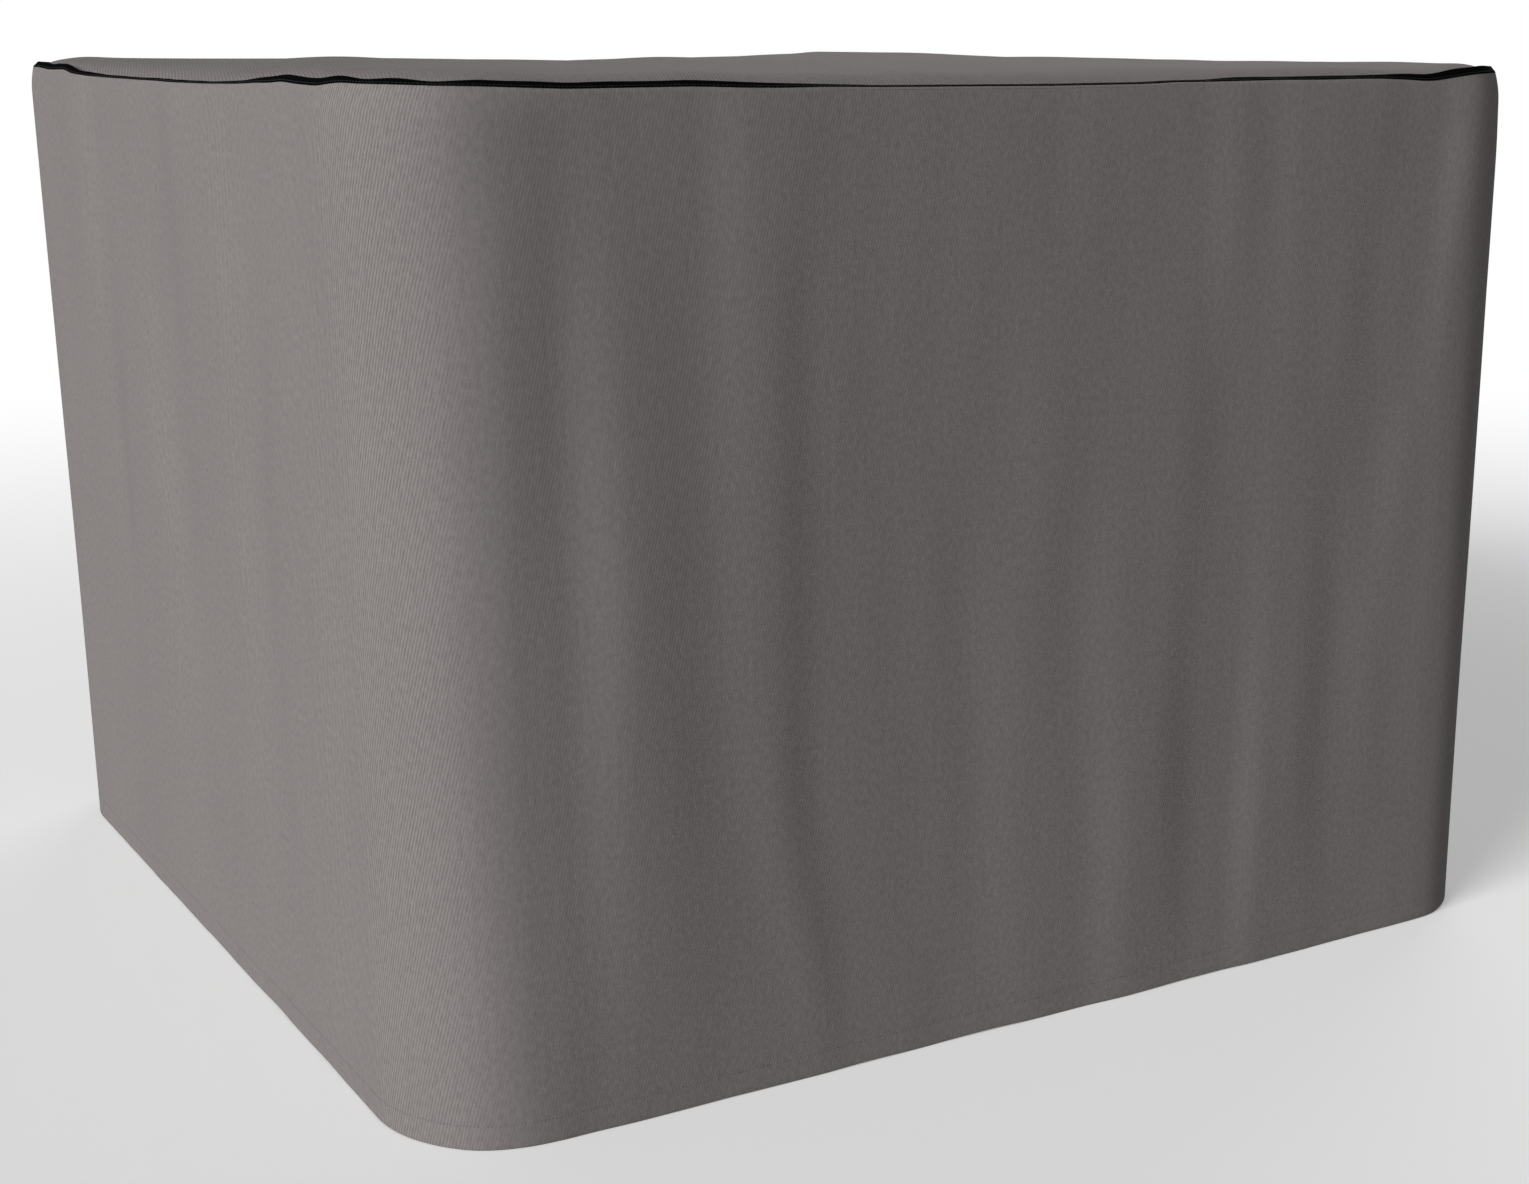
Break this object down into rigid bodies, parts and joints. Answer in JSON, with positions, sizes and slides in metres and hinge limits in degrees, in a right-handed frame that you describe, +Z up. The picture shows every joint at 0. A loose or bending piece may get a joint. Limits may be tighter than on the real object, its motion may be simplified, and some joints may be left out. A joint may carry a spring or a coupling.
{
  "type": "spa cover",
  "caption": "Square full-drop fabric cover for a hot tub: a shallow crowned top and a straight hemmed skirt with round corners, joined in one bound top seam.",
  "frame": {"origin": "on the ground at the middle of the cover's footprint", "axes": "+Z up; -Y is the front side and -X the left side of the reference view; the four sides are equal"},
  "size_m": [1.4016, 1.4016, 1.02],
  "materials": {
    "cover_fabric": "matt woven twill, coated on the inside",
    "binding_tape": "matt woven tape",
    "binding_thread": "bonded polyester thread",
    "sewing_thread": "bonded polyester thread",
    "seam_tape": "matt heat-sealed tape",
    "label_cloth": "plain woven label, blank"
  },
  "bodies": {
    "root": {"top_panel": "cover_fabric", "skirt_panel_front_left": "cover_fabric", "skirt_panel_back_right": "cover_fabric", "top_binding": "binding_tape", "top_binding_thread": "binding_thread", "hem_thread": "sewing_thread", "side_seam_tape_front_right": "seam_tape", "side_seam_tape_back_left": "seam_tape", "side_seam_thread_front_right": "sewing_thread", "side_seam_thread_back_left": "sewing_thread", "top_seam_tape": "seam_tape", "care_label": "label_cloth"}
  },
  "joints": []
}
